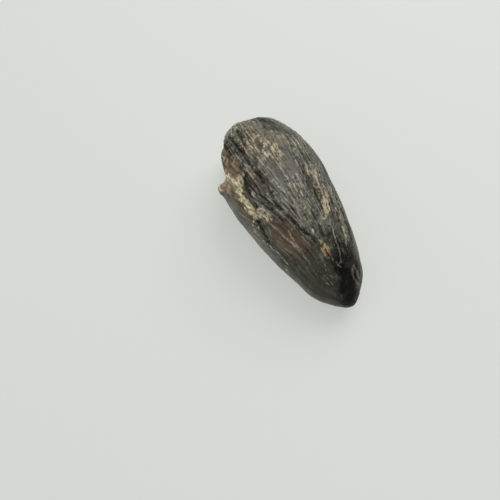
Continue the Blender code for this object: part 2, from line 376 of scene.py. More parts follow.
# Threads and specks of the pale deposit, and painted glints: the short bright strokes at 253,192, 254,195,
# 254,221, 258,227, 257,231, 305,207, 306,223 and 312,230.
THREADS_AND_GLINTS = [
    (0.05, 1.1, 256,210, 259,208, 263,209, 267,212, 271,216),
    (0.05, 0.9, 257,212, 260,216, 264,219, 267,220), (0.045, 0.9, 260,208, 259,212, 262,214),
    (0.045, 0.7, 264,210, 262,214, 261,217), (0.05, 1, 267,213, 265,216, 264,219),
    (0.05, 1, 270,215, 267,217, 266,220), (0.05, 0.9, 262,212, 266,215, 270,216),
    (0.04, 1, 271,219, 272,220), (0.04, 0.6, 312,169, 313,173, 315,178, 318,184),
    (0.04, 0.6, 315,169, 314,175, 317,180), (0.04, 0.6, 310,172, 313,176, 316,177),
    (0.045, 0.8, 318,184, 321,190, 323,196, 325,203), (0.04, 0.6, 322,184, 326,190, 329,197),
    (0.04, 0.7, 321,217, 324,219, 327,216), (0.035, 0.6, 330,222, 333,230, 335,238),
    (0.03, 0.4, 340,216, 342,224, 344,234, 346,245), (0.04, 0.6, 296,174, 299,178),
    (0.045, 0.5, 235,137, 239,142, 244,148), (0.04, 0.35, 243,167, 248,172, 253,179),
    (0.05, 0.5, 249,166, 251,170), (0.04, 0.6, 239,123, 242,128), (0.035, 0.6, 279,187, 285,193, 290,201),
    (0.035, 0.5, 290,199, 295,207, 300,214), (0.035, 1, 253,192, 253,193), (0.035, 1, 254,195, 255,196),
    (0.055, 1.6, 312,230, 314,234), (0.05, 1.4, 305,207, 305,209), (0.04, 0.9, 306,223, 307,225),
    (0.05, 1.6, 254,221, 254,222), (0.045, 1, 253,225, 254,228, 256,231), (0.045, 1.6, 258,227, 259,228),
    (0.045, 1.3, 257,231, 258,232), (0.035, 1.1, 268,244, 274,249, 279,253),
    (0.03, 0.9, 281,256, 284,259, 288,264), (0.03, 0.45, 267,221, 273,226, 280,232, 284,236),
    (0.035, 0.6, 283,236, 288,239, 293,244, 297,248), (0.03, 0.6, 288,232, 292,237, 297,246, 301,250),
    (0.03, 0.4, 264,223, 268,228, 271,234), (0.045, 1, 265,152, 267,156), (0.045, 1, 267,152, 269,157),
    (0.045, 1, 270,154, 272,158), (0.055, 0.75, 254,138, 257,136, 261,139, 264,144, 264,149, 262,152),
    (0.055, 0.7, 254,138, 253,143, 256,148, 260,152, 262,152),
    (0.04, 0.7, 273,144, 276,146, 278,150, 281,155), (0.04, 0.6, 273,144, 272,149, 275,152),
    (0.035, 0.5, 332,259, 334,261, 337,263), (0.03, 0.35, 335,263, 338,265, 341,267),
    (0.03, 0.3, 338,265, 341,261), (0.03, 0.35, 325,265, 326,271, 323,279), (0.03, 0.3, 331,276, 333,278),
    (0.03, 0.3, 327,283, 329,284), (0.03, 0.25, 337,287, 338,289), (0.05, 0.2, 354,265, 352,272, 354,279),
    (0.045, 0.2, 356,268, 358,274),
]
# Patches, by the mask that they paint.
PATCHES = {"ribs": [
    (0.75, 1, 228,139, 248,166, 270,200, 296,226, 316,246), (0.5, 1.3, 262,160, 280,188, 300,218, 315,240),
    (0.5, 0.7, 290,136, 306,166, 320,192, 336,226, 346,252), (0.3, 0.4, 254,126, 266,146, 282,170),
], "cream": [
    (0.14, 0.8, 266,153, 268,156, 271,158), (0.32, 0.85, 270,143, 275,148, 278,153),
    (0.16, 2.5, 225,136, 227,132, 229,130), (0.22, 1, 231,131, 236,128),
    (0.2, 0.8, 250,138, 252,146, 258,155), (0.18, 0.6, 247,121, 251,126), (0.12, 0.8, 252,119, 254,125),
    (0.16, 0.4, 247,133, 252,127, 257,130), (0.08, 0.6, 292,140, 297,148), (0.1, 0.7, 282,134, 284,138),
    (0.14, 0.6, 314,182, 316,188), (0.18, 0.35, 313,172, 315,177, 318,182),
    (0.18, 0.8, 318,182, 322,189, 325,197), (0.21, 1.6, 325,201, 327,210), (0.2, 0.9, 322,213, 325,219),
    # The small bright strokes at 305,207, 306,223, 312,229 and 253,192 are painted glints, not deposit.
    (0.22, 0.7, 297,184, 300,192), (0.1, 1, 305,207, 305,209),
    (0.16, 0.6, 333,202, 337,211, 341,220, 345,230), (0.08, 1, 306,223, 306,224),
    (0.28, 0.4, 303,212, 309,222), (0.28, 0.3, 288,205, 296,214), (0.24, 0.3, 292,186, 297,196),
    (0.07, 1, 312,229, 315,234), (0.03, 1, 253,192, 255,196), (0.1, 0.8, 263,241, 265,243),
    (0.12, 0.7, 286,270, 289,273), (0.16, 0.9, 260,212, 264,215, 268,218),
    (0.12, 0.6, 254,230, 256,233, 259,236), (0.28, 1.1, 241,173, 241,181, 240,188, 240,192),
    (0.2, 0.7, 228,176, 232,181, 236,184), (0.1, 0.7, 246,165, 249,170, 254,176),
    (0.1, 1.3, 240,200, 246,201), (0.22, 1.2, 243,198, 248,203, 252,210, 255,216),
    (0.14, 0.3, 241,200, 245,206, 250,213), (0.1, 0.8, 222,150, 223,158), (0.2, 0.5, 225,178, 229,181),
], "calm": [
    (0.3, 0.5, 262,123, 271,127, 282,134), (0.34, 1, 247,121, 255,124, 261,130),
    (0.13, 0.8, 237,150, 247,164, 257,180, 265,191), (0.34, 0.9, 264,133, 274,138, 283,144),
    (0.35, 0.9, 279,130, 285,139), (0.35, 0.9, 283,150, 288,160, 293,170),
    (0.3, 1, 255,140, 258,144, 261,149), (0.25, 0.8, 268,161, 272,167),
    (0.7, 0.8, 278,232, 290,241, 302,252), (0.14, 0.8, 246,183, 250,192),
    (1, 0.8, 308,262, 320,276, 333,292), (0.6, 0.8, 318,292, 332,300, 345,305),
], "veins": [
    (0.26, 0.5, 256,208, 262,212, 269,218), (0.3, 0.75, 311,169, 315,177, 320,187, 324,196),
    (0.22, 0.6, 330,190, 335,202), (0.2, 0.6, 261,217, 265,222), (0.28, 0.3, 326,214, 331,221, 331,227),
], "yellow": [
    (0.18, 1, 321,243, 324,246, 326,249),
], "orange": [
    (0.16, 1, 324,249, 327,252, 330,256),
], "bone": [
    (0.25, 0.8, 228,188, 234,187), (0.28, 0.8, 220,187, 224,184, 229,185),
    (0.3, 0.9, 225,173, 229,178, 233,184), (0.14, 1, 232,182, 236,183), (0.22, 1, 239,178, 239,186, 240,193),
    (0.1, 0.8, 224,150, 224,158),
# Sheen patches: painted sheen, grey where the top of the enamel mirrors the key light, and a painted
# highlight on the tip's right rim.
], "painted_sheen": [
    (0.3, 0.5, 284,129, 290,135), (0.35, 0.35, 326,214, 332,226, 338,238),
    (0.6, 0.6, 281,150, 286,160, 291,170), (0.6, 1.3, 284,172, 292,190, 299,207),
    (0.45, 1.3, 282,200, 290,210, 299,217, 309,224),
    (0.55, 1.1, 262,150, 272,170, 284,196, 298,218, 311,235), (0.3, 0.8, 246,158, 254,168),
    (0.16, 0.6, 236,149, 246,164, 256,180), (0.45, 0.6, 250,196, 260,205, 272,212, 286,224),
    (0.45, 0.4, 300,228, 312,240, 322,254), (0.45, 0.25, 260,236, 250,225, 238,209),
    (0.4, 1, 300,176, 308,192, 316,210, 321,222), (0.16, 0.8, 358,282, 359,290, 356,299),
], "brown": [
    (0.7, 1, 279,229, 286,234, 293,240, 300,247), (0.36, 0.9, 284,224, 295,233, 305,242),
    (0.22, 0.7, 252,172, 258,180, 264,189), (0.26, 0.8, 257,140, 258,144, 260,148),
    (0.24, 0.5, 267,157, 271,163, 275,171), (0.2, 0.6, 249,130, 253,132), (0.14, 0.8, 262,150, 264,156),
    (0.13, 0.9, 239,145, 243,150, 248,156), (0.14, 0.7, 248,129, 252,131),
    (0.2, 0.5, 249,173, 254,179, 259,187), (0.2, 0.4, 333,295, 335,298),
    (0.28, 0.6, 234,199, 241,208, 249,219),
], "mottled": [
    (0.85, 1, 234,131, 246,134, 262,145, 272,159), (0.34, 0.4, 310,168, 318,182, 327,208),
    (0.38, 0.8, 262,129, 274,133, 285,139), (0.28, 0.5, 293,152, 299,164), (0.22, 0.6, 245,165, 250,173),
    (0.3, 0.3, 307,204, 313,212), (0.34, 0.8, 338,210, 343,222, 346,232),
# Black patches: dark enamel, and painted shade under the broken rim, along the dark furrows and on the lower
# flank.
], "black": [
    (0.38, 1, 259,119, 267,121, 275,127), (0.22, 0.6, 272,126, 279,131),
    (0.3, 0.6, 306,178, 308,184, 310,190), (0.32, 0.8, 314,187, 317,192, 319,197),
    (0.12, 0.7, 320,198, 322,203), (0.16, 0.7, 330,200, 332,205), (0.14, 0.6, 314,208, 317,215),
    (0.34, 0.9, 228,138, 233,145, 240,153), (0.14, 0.4, 240,153, 250,167, 262,184),
    (0.32, 1, 228,139, 233,138), (0.18, 1.1, 232,126, 235,124, 239,122),
    (0.2, 0.9, 237,130, 240,133, 242,137), (0.3, 1.1, 225,143, 228,150, 230,156),
    (0.16, 0.5, 236,161, 237,168, 238,173), (0.4, 0.9, 333,236, 339,250, 342,260),
    (0.2, 0.6, 327,257, 333,262), (0.6, 0.5, 286,262, 300,276, 318,292),
    (0.24, 0.7, 263,199, 268,205, 275,212, 284,220), (0.14, 1.1, 256,219, 259,222),
    (0.12, 0.8, 255,204, 258,207), (0.07, 0.9, 242,193, 243,194), (0.12, 0.6, 232,190, 234,193),
    (0.14, 0.8, 250,130, 255,132), (0.22, 0.9, 243,168, 246,177, 248,187, 251,196),
    (0.38, 0.8, 347,226, 350,240, 350,256), (0.25, 0.5, 305,156, 310,165, 314,174),
    (0.26, 0.7, 292,222, 301,230, 310,238, 320,247), (0.45, 0.35, 309,253, 313,262, 316,276),
    (0.3, 0.5, 308,250, 313,260), (0.14, 0.8, 239,121, 246,119, 255,118), (0.14, 0.6, 243,142, 247,147),
    (0.28, 0.6, 313,220, 316,230, 320,240), (0.25, 0.2, 262,192, 267,201), (0.32, 0.35, 283,173, 288,187),
    (0.2, 0.5, 308,197, 310,203), (0.2, 0.3, 257,141, 260,147), (0.4, 0.4, 322,275, 325,285),
    (0.24, 0.6, 261,229, 264,236, 268,243), (0.32, 0.35, 281,150, 285,157),
], "tip": [
    (0.66, 1.1, 347,272, 350,282, 351,292, 348,302), (0.42, 0.9, 335,259, 341,265, 348,272),
    (0.47, 1.1, 341,268, 344,280, 344,290), (0.4, 0.8, 338,298, 345,306),
]}
# How softly their edges fade, in half-widths.
SOFTNESS = {"ribs": 0.9, "painted_sheen": 0.8, "brown": 0.95, "tip": 1.0, "mottled": 0.8, "black": 0.7}
USUAL_SOFTNESS = 0.45
WANDER, WANDERINGS = 0.6, 0.31  # pixels that a stroke's path wanders, and wanderings for each pixel
RAGS = 0.35  # half-widths that the edge of a patch moves with the ragged noise


def smooth_path(points):
    """Points about 1 px apart along a smooth curve through the x,y of a few points."""
    points = np.reshape(points, (-1, 2)).astype(float)
    along = np.concatenate([[0], np.cumsum(np.linalg.norm(np.diff(points, axis=0), axis=1))])
    at = np.linspace(0, along[-1], max(2, int(along[-1]) + 1))
    return np.stack([smooth_through(along, points[:, k], at) for k in range(2)], -1)


class Marks:
    """Finds how far the tooth's points lie from strokes drawn on the photograph."""

    def __init__(self, tooth):
        self.points = tooth.body
        self.pixels = np.where(tooth.seen[..., None], tooth.pixels, np.inf)

    def on_surface(self, pixels):
        """The points of the tooth that show nearest to those pixels."""
        found = [np.argmin(((self.pixels - p) ** 2).sum(-1)) for p in pixels]
        return self.points.reshape(-1, 3)[found]

    def distance(self, pixels, reach):
        """mm from each point of the surface to a stroke, or reach where it is further."""
        path = smooth_path(pixels)
        places = np.column_stack([path * WANDERINGS, np.zeros(len(path))])
        path = self.on_surface(path + WANDER * np.stack([noise(places, seed) for seed in (101, 102)], -1))
        path[1:-1] = (path[:-2] + path[1:-1] * 2 + path[2:]) / 4
        near = ((self.points > path.min(0) - reach) & (self.points < path.max(0) + reach)).all(-1)
        some = self.points[near]
        best = np.full(len(some), float(reach))
        for start, end in zip(path, path[1:]):
            run = end - start
            t = np.clip((some - start) @ run / max(run @ run, 1e-9), 0, 1)
            best = np.minimum(best, np.linalg.norm(some - start - t[:, None] * run, axis=-1))
        out = np.full(near.shape, float(reach))
        out[near] = best
        return out

    def line(self, stroke):
        """A soft line along a stroke, with its strength in the middle."""
        half_width, strength, *pixels = stroke
        return np.exp(-((self.distance(pixels, half_width * 4) / half_width) ** 2)) * strength

    def patch(self, strokes, ragged, softness):
        """A mask of broad strokes whose edges follow the ragged noise."""
        mask = np.zeros_like(ragged)
        for half_width, strength, *pixels in strokes:
            away = self.distance(pixels, half_width * 2.6) / half_width
            mask = np.maximum(mask, strength * fade(away + RAGS * ragged, 1 + softness, 1 - softness))
        return mask


# ---- grain of the enamel

GRAIN_AXIS = 87  # angle that the ridges of the upper side draw together at
GRAIN_PULL = [  # (x, how strongly they draw together)
    (-5.0, 1.0), (-3.5, 1.05), (-2.0, 1.17), (-0.5, 1.35), (1.0, 1.75), (2.5, 2.15), (4.0, 2.6), (7.5, 3.0),
]
LEAST_PULL = 0.3  # on the under side, opposite the axis
GRAIN_WANDER = 0.9  # degrees that the ridges wander
GRAIN_RADIUS = 3.3  # mm, where stripes have the spacing that is asked for
LEVELS = (-1, 0, 1, 2)  # halvings of the count of stripes, so that their spacing stays even


class Grain:
    """Coordinates that run with the ridges, which draw together towards the tip."""

    def __init__(self, tooth):
        wander = GRAIN_WANDER * layered(tooth.smooth * 0.45, 2, 91)
        delta = turned(tooth.angle + wander, GRAIN_AXIS)
        away = np.abs(delta) / 180
        pull = np.interp(tooth.x, *np.array(GRAIN_PULL).T)
        power = (pull - LEAST_PULL) / (1 - LEAST_PULL)
        share = (1 - LEAST_PULL) * (1 - (1 - away) ** power) + LEAST_PULL * away
        slope = (1 - LEAST_PULL) * power * (1 - away) ** (power - 1) + LEAST_PULL
        turn = np.sign(delta) * math.pi * share
        self.crowd = np.clip(np.log2(slope * GRAIN_RADIUS / tooth.radius), LEVELS[0], LEVELS[-1])
        self.places = np.stack([np.cos(turn), np.sin(turn), tooth.x], -1)

    def stripes(self, around, along, seed):
        """Noise with about that many cells round the tooth, and that many for each mm along it."""
        total = 0
        for level in LEVELS:
            radius = around / (2 * math.pi) / 2**level
            stripes = noise(self.places * [radius, radius, along], seed + 10 * level)
            total += stripes * np.clip(1 - np.abs(self.crowd - level), 0, 1)
        return total


# ---- relief and masks

# Angles over which the flank under the break, and the sides that don't show, set in and end.
FLANK, HIDDEN = ((138, 160), (260, 230)), ((180, 210), (40, 20))
WORN = (2.0, 5.5)  # x over which the ridges wear down towards the tip
BASE_FACE = (0.90, 0.85)  # shares of the full section between which the base's bare face sets in
BARE_FROM = (0.05, 0.14)  # mm of the chip's depth over which the dentine comes bare
# The stripes whose crests are folds and ridges: cells round the tooth and for each mm along, seed.
FOLDS, RIDGES = (60, 0.14, 1), (150, 0.30, 7)
# Heights of the relief in mm.
FOLD_HEIGHT, RIDGE_HEIGHT, FAINT_RIDGE_HEIGHT = 0.060, 0.055, 0.014
WAVE_HEIGHT, LUMP_HEIGHT, PIT_DEPTH, DEPOSIT_HEIGHT = 0.03, 0.010, 0.035, 0.014
FURROW_DEPTH, LINE_HEIGHT, THREAD_HEIGHT = 0.12, 0.035, 0.03
BREAK_WAVES, BREAK_LUMPS, LAMINA_HEIGHT, HIDDEN_BREAK_LUMPS = 0.06, 0.035, 0.015, 0.03
FULL_HEIGHT = 0.04  # mm over or under its surroundings at which a point counts as fully raised or sunk


def crests(value, width):
    """1 along the lines where a noise passes zero, falling to 0 at that width of value."""
    return np.clip(1 - np.abs(value) / width, 0, 1)


def softened(values, times):
    """Values of the grid averaged with their neighbours, closed round the second axis."""
    for _ in range(times):
        values = (np.roll(values, 1, 1) + values * 2 + np.roll(values, -1, 1)) / 4
        ends = np.concatenate([values[:1], values, values[-1:]])
        values = (ends[:-2] + ends[1:-1] * 2 + ends[2:]) / 4
    return values


class Surface:
    """Relief of the tooth in mm, and masks for its material, for each point of the grid."""

    def __init__(self, tooth):
        self.tooth = tooth
        self.marks, self.grain = Marks(tooth), Grain(tooth)
        self.ragged = layered(tooth.body * 1.7, 3, 21)
        self.broken = np.maximum(tooth.open, fade(tooth.chip, *BARE_FROM)) * tooth.away_from_poles
        closed = closure(tooth.x) + 0.025 * layered(tooth.body * 1.5, 2, 51)
        self.base_face = fade(closed, *BASE_FACE) * (tooth.x < 0)
        self.worn = fade(tooth.x, *WORN)
        self.flank = fade(tooth.angle, *FLANK[0]) * fade(tooth.angle, *FLANK[1])
        self.hidden = fade(tooth.angle, *HIDDEN[0]) + fade(tooth.angle, *HIDDEN[1])
        self.masks = self.painted()
        self.relief = self.enamel()
        self.draw_lines()
        self.break_open()
        self.finish_masks()

    def painted(self):
        """Masks of the painted patches, carried on over the sides that the photograph hides."""
        masks = {}
        for name, strokes in PATCHES.items():
            masks[name] = self.marks.patch(strokes, self.ragged, SOFTNESS.get(name, USUAL_SOFTNESS))
        tip = 0.7 * self.hidden * fade(self.tooth.x + 0.3 * self.ragged, 4.6, 6.6)
        brown = 0.7 * self.hidden * fade(layered(self.tooth.body * 0.4, 3, 95), 0.15, 0.6)
        for name, carried_on in (("tip", tip), ("brown", brown), ("calm", 0.6 * self.hidden)):
            masks[name] = np.maximum(masks[name], carried_on)
        return masks

    def enamel(self):
        """Relief of folds, ridges, waves, lumps, pits and deposit."""
        body, masks = self.tooth.body, self.masks
        smooth = np.maximum.reduce([masks["calm"], masks["tip"], self.flank])
        ribs = masks.pop("ribs")  # shapes the relief alone, so the material has no use for it
        ribbed = 0.3 + 0.8 * np.maximum(ribs, 0.6 * self.hidden)
        ribbed = ribbed * (1 - 0.5 * self.worn) * (1 - self.broken) * (1 - self.base_face)
        ribbed = ribbed * (1 - 0.8 * smooth)
        patchy = np.clip(0.6 + 0.8 * noise(body * 1.1, 61), 0.1, 1.4)
        broken_up = fade(noise(body * 1.6, 63), -0.5, 0.3)
        folds, ridges = self.grain.stripes(*FOLDS), self.grain.stripes(*RIDGES)
        relief = (FOLD_HEIGHT * crests(folds, 0.55) + RIDGE_HEIGHT * patchy * crests(ridges, 0.7)) * ribbed
        relief += FAINT_RIDGE_HEIGHT * crests(ridges, 0.6) * broken_up
        relief += WAVE_HEIGHT * layered(body * 0.55, 2, 3) + self.tooth.spots(SWELLS)
        relief += LUMP_HEIGHT * layered(body * 4.5, 2, 5) * (1 - 0.4 * smooth)
        relief -= PIT_DEPTH * fade(layered(body * 4.2, 2, 81), 0.40, 0.9) * (1 - 0.7 * smooth)
        deposit = np.maximum(masks["cream"], 0.3 * masks["mottled"])
        relief += DEPOSIT_HEIGHT * layered(body * 5.0, 2, 85) * deposit
        return relief

    def draw_lines(self):
        """Add the dark furrows with their painted shade, the pale lines of scratches and painted highlights,
        and the threads of deposit and painted glints.
        """
        body = self.tooth.body
        uneven = np.clip(0.85 + 0.5 * layered(body * 2.2, 2, 75), 0.3, 1.1)
        dashes = fade(noise(body * 1.9, 71) + 0.5 * noise(body * 5, 73), -0.35, 0.15)
        beads = np.clip(0.7 + 1.6 * noise(body * 5.0, 77), 0.05, 1.2)
        dark, light, threads = np.zeros((3, *self.tooth.x.shape))
        # Dark furrows: sunk, and masked for painted shade.
        for stroke in DARK_FURROWS:
            line = self.marks.line(stroke) * uneven
            self.relief -= FURROW_DEPTH * line
            dark = np.maximum(dark, line)
        for stroke in LIGHT_LINES:
            line = self.marks.line(stroke) * dashes
            self.relief += LINE_HEIGHT * line
            light = np.maximum(light, line)
        for stroke in THREADS_AND_GLINTS:
            threads = np.maximum(threads, self.marks.line(stroke))
        threads = threads * beads
        self.relief += THREAD_HEIGHT * threads
        self.masks.update(dark=dark, light=light, threads=threads)

    def break_open(self):
        """Roughen the bare dentine, whose laminae follow its depth."""
        tooth, body = self.tooth, self.tooth.body
        dentine = np.maximum(self.broken, self.base_face)
        depth = tooth.chip + tooth.crack + 3.0 * (1 - closure(tooth.x)) * self.base_face
        turn = np.radians(tooth.angle)
        laminae = [depth * 4.0 + 0.9 * self.ragged, np.cos(turn) * 1.5, np.sin(turn) * 1.5 + 0.4 * tooth.x]
        laminae = layered(np.stack(laminae, -1), 2, 17)
        rough = layered(body * 1.3, 3, 11) * BREAK_WAVES + layered(body * 4.2, 2, 13) * BREAK_LUMPS
        rough += laminae * LAMINA_HEIGHT
        rough += HIDDEN_BREAK_LUMPS * layered(body * 4.0, 2, 15) * fade(tooth.angle, 180, 205)
        self.relief += rough * dentine
        self.masks.update(dentine=dentine, laminae=np.clip(laminae / 2 + 0.5, 0, 1))

    def finish_masks(self):
        """Masks that follow from the others: raised or sunk, worn with painted shade on the lower flank, and
        how glossy.
        """
        masks = self.masks
        # Raised and sunk points, which the material lightens and darkens as painted highlight and painted
        # shade.
        raised = (self.relief - softened(self.relief, 10)) / FULL_HEIGHT
        masks["height"] = np.clip(raised, -1, 1) / 2 + 0.5
        masks["broken"] = self.broken
        # The flank share is painted shade on the lower flank, which faces away from the light; the rest is
        # wear towards the tip.
        masks["worn"] = np.maximum(self.worn, 0.7 * self.flank)
        masks["crowd"] = self.grain.crowd
        dull = [masks["dentine"], 0.8 * masks["cream"], 0.9 * masks["tip"], 0.7 * masks["black"]]
        masks["gloss"] = np.clip(1 - np.maximum.reduce(dull), 0, 1)


# ---- mesh


def with_poles(values):
    """Values of the grid as a list, with those of the two poles at its end."""
    tail = values.shape[2:]
    return np.concatenate([values.reshape(-1, *tail), values[[0, -1]].mean(1)])


def build_mesh(tooth):
    """The tooth's mesh with its relief, masks and UV map, as an object."""
    surface = Surface(tooth)
    points = tooth.body + tooth.normal * surface.relief[..., None]
    points = np.clip(points, LOW - [BOX_SPARE, BOX_SPARE, 0], HIGH + BOX_SPARE)
    rings, sides = tooth.x.shape
    turns = np.append(tooth.angle_line / 360, 1.0).tolist()
    # Each side's number, the next one's, and their places across the UV map.
    strips = [(side, (side + 1) % sides, *turns[side : side + 2]) for side in range(sides)]
    along = 0.01 + 0.98 * tooth.along  # the poles' triangles take up the first and last hundredth
    faces, uvs = [], []
    for ring in range(rings - 1):
        here, beyond = ring * sides, (ring + 1) * sides
        low, high = along[ring], along[ring + 1]
        for side, after, left, right in strips:
            faces.append((here + side, here + after, beyond + after, beyond + side))
            uvs += [(left, low), (right, low), (right, high), (left, high)]
    last, poles = (rings - 1) * sides, (rings * sides, rings * sides + 1)
    for side, after, left, right in strips:
        middle = (left + right) / 2
        faces += [(poles[0], after, side), (poles[1], last + side, last + after)]
        uvs += [(middle, 0.0), (right, along[0]), (left, along[0])]
        uvs += [(middle, 1.0), (left, along[-1]), (right, along[-1])]
    mesh = bpy.data.meshes.new("fossil_tooth")
    mesh.from_pydata((with_poles(points) * MM).tolist(), [], faces)
    mesh.uv_layers.new(name="OFBake").data.foreach_set("uv", np.array(uvs, np.float32).ravel())
    for name, mask in surface.masks.items():
        attribute = mesh.attributes.new(name, "FLOAT", "POINT")
        attribute.data.foreach_set("value", with_poles(mask).astype(np.float32))
    attribute = mesh.attributes.new("grain", "FLOAT_VECTOR", "POINT")
    attribute.data.foreach_set("vector", with_poles(surface.grain.places).astype(np.float32).ravel())
    mesh.shade_smooth()
    mesh.update()
    return add_object("fossil_tooth", mesh)


def add_object(name, data):
    """A new object of the scene that shows that mesh, light or camera."""
    new = bpy.data.objects.new(name, data)
    bpy.context.scene.collection.objects.link(new)
    return new


# ---- material


class Nodes:
    """Short ways to add and join the nodes of a material or world."""

    def __init__(self, owner, shader):
        owner.use_nodes = True
        self.tree = owner.node_tree
        self.shader = self.tree.nodes[shader]

    def add(self, kind, inputs=None, **settings):
        node = self.tree.nodes.new(kind)
        for key, value in settings.items():
            setattr(node, key, value)
        self.fill(node, inputs or {})
        return node

    def fill(self, node, inputs):
        """Give a node's inputs their values, or link them where the value is a socket."""
        for key, value in inputs.items():
            socket = node.inputs[key]
            if isinstance(value, bpy.types.NodeSocket):
                self.tree.links.new(value, socket)
            elif socket.type == "RGBA":
                socket.default_value = (*value, 1.0)
            else:
                socket.default_value = value

    def mask(self, name, output="Fac"):
        """What the mesh holds under that name for each of its points."""
        return self.add("ShaderNodeAttribute", attribute_name=name).outputs[output]

    def math(self, operation, a, b=0.0, c=0.0, clamp=False):
        node = self.add("ShaderNodeMath", {0: a, 1: b, 2: c}, operation=operation, use_clamp=clamp)
        return node.outputs[0]

    def times(self, a, b):
        return self.math("MULTIPLY", a, b)

    def total(self, *parts):
        """Sum of values, each with its gain."""
        total = 0.0
        for value, gain in parts:
            total = self.math("MULTIPLY_ADD", value, gain, total)
        return total

    def vector_math(self, operation, a, b, key=1):
        return self.add("ShaderNodeVectorMath", {0: a, key: b}, operation=operation).outputs[0]

    def scaled(self, vector, factor):
        """A vector or colour times one value."""
        return self.vector_math("SCALE", vector, factor, "Scale")

    def cloud(self, vector, scale, detail=2.0, roughness=0.6):
        values = {"Vector": vector, "Scale": scale, "Detail": detail, "Roughness": roughness}
        return self.add("ShaderNodeTexNoise", values).outputs["Fac"]

    def stripes(self, around, along, roughness=0.6):
        """Noise drawn out along the grain, with cells for each radian round and each mm along."""
        grain, crowd = self.mask("grain", "Vector"), self.mask("crowd")
        total = 0.0
        for level in LEVELS:
            factors = (around / 2**level, around / 2**level, along)
            layer = self.cloud(self.vector_math("MULTIPLY", grain, factors), 1.0, roughness=roughness)
            near = self.math("ABSOLUTE", self.math("SUBTRACT", crowd, float(level)))
            share = self.math("SUBTRACT", 1.0, near, clamp=True)
            total = self.math("MULTIPLY_ADD", layer, share, total)
        return total

    def between(self, value, low, high):
        """0 below low and 1 above high, with a smooth passage between them."""
        values = {"Value": value, "From Min": low, "From Max": high}
        return self.add("ShaderNodeMapRange", values, interpolation_type="SMOOTHSTEP").outputs["Result"]

    def mix(self, share, a, b):
        """A colour between colours a and b."""
        return self.add("ShaderNodeMix", {0: share, 6: a, 7: b}, data_type="RGBA").outputs[2]

    def mix_value(self, share, a, b):
        return self.add("ShaderNodeMix", {0: share, 2: a, 3: b}, data_type="FLOAT").outputs[0]


# Colours of the enamel, its deposit, the bare dentine and the pale floor, as linear RGB. The grey of the
# sheen patches is painted sheen, and the pale colours of crests, lines and glints are partly painted
# highlights.
CHARCOAL = (0.060, 0.057, 0.042)
SLATE = (0.135, 0.127, 0.088)
SHEEN_GREY = (0.224, 0.218, 0.182)
OLIVE = (0.160, 0.145, 0.092)
TAN = (0.275, 0.240, 0.172)
CREAM = (0.570, 0.500, 0.345)
CHALK = (0.780, 0.690, 0.470)
PALE = (0.330, 0.320, 0.265)
THREAD_AND_GLINT = (0.820, 0.760, 0.600)
RUST = (0.165, 0.097, 0.055)
UMBER = (0.115, 0.078, 0.050)
NEAR_BLACK = (0.0040, 0.0035, 0.0030)
AMBER = (0.300, 0.197, 0.094)
STRAW = (0.520, 0.450, 0.250)
DENTINE_DARK = (0.185, 0.135, 0.096)
DENTINE_LIGHT = (0.345, 0.272, 0.196)
BONE = (0.560, 0.450, 0.330)
FLOOR_COLOUR = (0.42, 0.433, 0.412)
GLAZE, GLAZE_ROUGHNESS, GLAZE_IOR = 0.45, 0.22, 1.5
BODY_IOR = 1.22  # low, so that the dull places and pits stay dark
BUMP_DEPTH = 0.00004  # metres, of the grain too fine for the mesh


